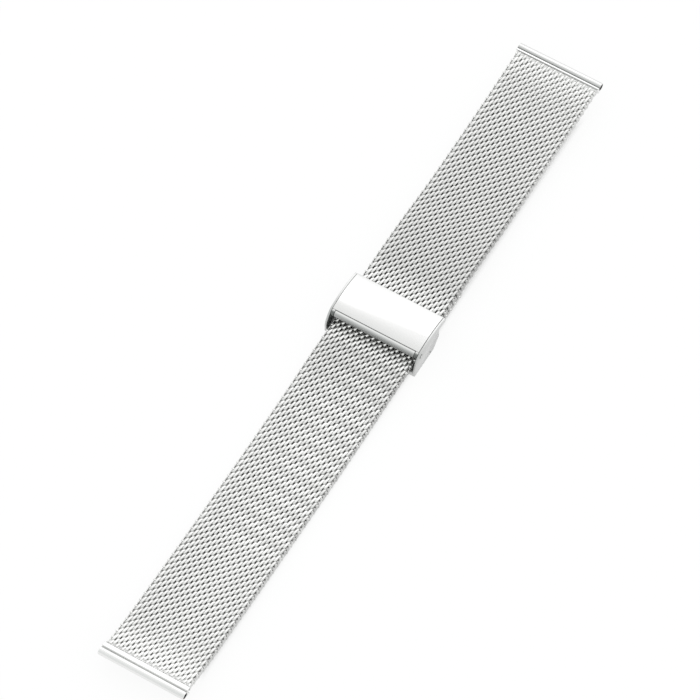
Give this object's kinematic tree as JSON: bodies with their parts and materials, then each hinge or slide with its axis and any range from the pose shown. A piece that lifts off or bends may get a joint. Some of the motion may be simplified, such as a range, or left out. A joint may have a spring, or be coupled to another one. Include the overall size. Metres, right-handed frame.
{
  "type": "milanese mesh watch band",
  "caption": "Woven steel mesh watch band in two halves with rolled end bars and an arched sliding fold-over clasp.",
  "frame": {"origin": "under the middle of the band's length, at the level of the clasp's underside", "axes": "+X across the band, +Y along it towards the shorter half, +Z out of the band's worn face"},
  "size_m": [0.0216, 0.1686, 0.0064],
  "materials": {
    "woven_steel": "woven round wire, bright",
    "polished_steel": "polished",
    "satin_steel": "fine satin"
  },
  "bodies": {
    "clasp": {"clasp_base": "satin_steel", "main_hinge_pin": "satin_steel", "flap_hinge_pin": "satin_steel"},
    "flap": {"locking_flap": "satin_steel"},
    "lever": {"hook_lever": "polished_steel"},
    "cover": {"cover": "polished_steel"},
    "long_0": {"mesh_long_0": "woven_steel"},
    "long_1": {"mesh_long_1": "woven_steel"},
    "long_2": {"mesh_long_2": "woven_steel"},
    "long_3": {"mesh_long_3": "woven_steel"},
    "long_4": {"mesh_long_4": "woven_steel"},
    "long_5": {"mesh_long_5": "woven_steel"},
    "long_6": {"mesh_long_6": "woven_steel"},
    "long_7": {"mesh_long_7": "woven_steel"},
    "long_8": {"mesh_long_8": "woven_steel"},
    "long_9": {"mesh_long_9": "woven_steel", "end_bar_long": "polished_steel"},
    "short_0": {"mesh_short_0": "woven_steel", "short_end_frame": "satin_steel", "cross_bar": "satin_steel"},
    "short_1": {"mesh_short_1": "woven_steel"},
    "short_2": {"mesh_short_2": "woven_steel"},
    "short_3": {"mesh_short_3": "woven_steel"},
    "short_4": {"mesh_short_4": "woven_steel"},
    "short_5": {"mesh_short_5": "woven_steel", "end_bar_short": "polished_steel"}
  },
  "joints": [
    {"name": "adjuster_slide", "type": "slide", "parent": "clasp", "child": "long_0", "axis": [0, -1, 0], "range_m": [-0.0039, 0.0078]},
    {"name": "long_bend_1", "type": "hinge", "parent": "long_0", "child": "long_1", "pos_m": [0, -0.00253, 0.00185], "axis": [1, 0, 0], "range_deg": [-15, 20]},
    {"name": "long_bend_2", "type": "hinge", "parent": "long_1", "child": "long_2", "pos_m": [0, -0.01139, 0.0012], "axis": [1, 0, 0], "range_deg": [-15, 20]},
    {"name": "long_bend_3", "type": "hinge", "parent": "long_2", "child": "long_3", "pos_m": [0, -0.02027, 0.00095], "axis": [1, 0, 0], "range_deg": [-15, 20]},
    {"name": "long_bend_4", "type": "hinge", "parent": "long_3", "child": "long_4", "pos_m": [0, -0.02916, 0.00095], "axis": [1, 0, 0], "range_deg": [-15, 20]},
    {"name": "long_bend_5", "type": "hinge", "parent": "long_4", "child": "long_5", "pos_m": [0, -0.03804, 0.00104], "axis": [1, 0, 0], "range_deg": [-15, 20]},
    {"name": "long_bend_6", "type": "hinge", "parent": "long_5", "child": "long_6", "pos_m": [0, -0.04693, 0.0012], "axis": [1, 0, 0], "range_deg": [-15, 20]},
    {"name": "long_bend_7", "type": "hinge", "parent": "long_6", "child": "long_7", "pos_m": [0, -0.05581, 0.00151], "axis": [1, 0, 0], "range_deg": [-15, 20]},
    {"name": "long_bend_8", "type": "hinge", "parent": "long_7", "child": "long_8", "pos_m": [0, -0.06468, 0.00191], "axis": [1, 0, 0], "range_deg": [-15, 20]},
    {"name": "long_bend_9", "type": "hinge", "parent": "long_8", "child": "long_9", "pos_m": [0, -0.07356, 0.00227], "axis": [1, 0, 0], "range_deg": [-15, 20]},
    {"name": "hook_lever_open", "type": "hinge", "parent": "clasp", "child": "lever", "pos_m": [0, 0.0072, 0.0048], "axis": [1, 0, 0], "range_deg": [0, 60]},
    {"name": "cover_open", "type": "hinge", "parent": "lever", "child": "cover", "pos_m": [0, 0.0072, 0.0048], "axis": [1, 0, 0], "range_deg": [0, 100]},
    {"name": "short_hook_turn", "type": "hinge", "parent": "lever", "child": "short_0", "pos_m": [0, 0.0116, 0.00345], "axis": [1, 0, 0], "range_deg": [-60, 0]},
    {"name": "short_bend_1", "type": "hinge", "parent": "short_0", "child": "short_1", "pos_m": [0, 0.0335, 0.00345], "axis": [-1, 0, 0], "range_deg": [-15, 25]},
    {"name": "short_bend_2", "type": "hinge", "parent": "short_1", "child": "short_2", "pos_m": [0, 0.04322, 0.00243], "axis": [-1, 0, 0], "range_deg": [-15, 25]},
    {"name": "short_bend_3", "type": "hinge", "parent": "short_2", "child": "short_3", "pos_m": [0, 0.05299, 0.00243], "axis": [-1, 0, 0], "range_deg": [-15, 25]},
    {"name": "short_bend_4", "type": "hinge", "parent": "short_3", "child": "short_4", "pos_m": [0, 0.06276, 0.00268], "axis": [-1, 0, 0], "range_deg": [-15, 25]},
    {"name": "short_bend_5", "type": "hinge", "parent": "short_4", "child": "short_5", "pos_m": [0, 0.07253, 0.00314], "axis": [-1, 0, 0], "range_deg": [-15, 25]},
    {"name": "flap_open", "type": "hinge", "parent": "clasp", "child": "flap", "pos_m": [0, 0.0112, 0.0005], "axis": [1, 0, 0], "range_deg": [0, 60]}
  ],
  "couplings": [
    {"joint": "short_hook_turn", "follows": "hook_lever_open", "ratio": -1}
  ]
}
